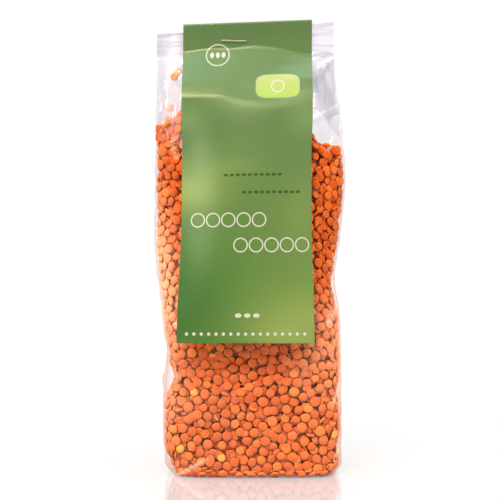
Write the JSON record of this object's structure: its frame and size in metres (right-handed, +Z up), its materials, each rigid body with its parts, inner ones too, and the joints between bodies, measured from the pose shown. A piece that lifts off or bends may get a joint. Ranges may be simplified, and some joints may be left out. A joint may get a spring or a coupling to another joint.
{
  "type": "bag of lentils",
  "caption": "Clear flat-bottomed film bag of red split lentils, standing, with a ribbed top seal and a long folded card label stapled over it.",
  "frame": {"origin": "centre of the overall box at the height of the flat bottom that the bag stands on", "axes": "+Z up, -Y towards the front that the picture shows, +X to the right as seen from the front"},
  "size_m": [0.0946, 0.0744, 0.2212],
  "materials": {
    "filled_film": "clear glossy film, drawn tight over orange-red split lentils",
    "green_card": "lacquered green card with a satin sheen",
    "staple_wire": "plain bright wire"
  },
  "bodies": {
    "root": {"bag": "filled_film", "header_card": "green_card", "staple": "staple_wire"}
  },
  "joints": []
}
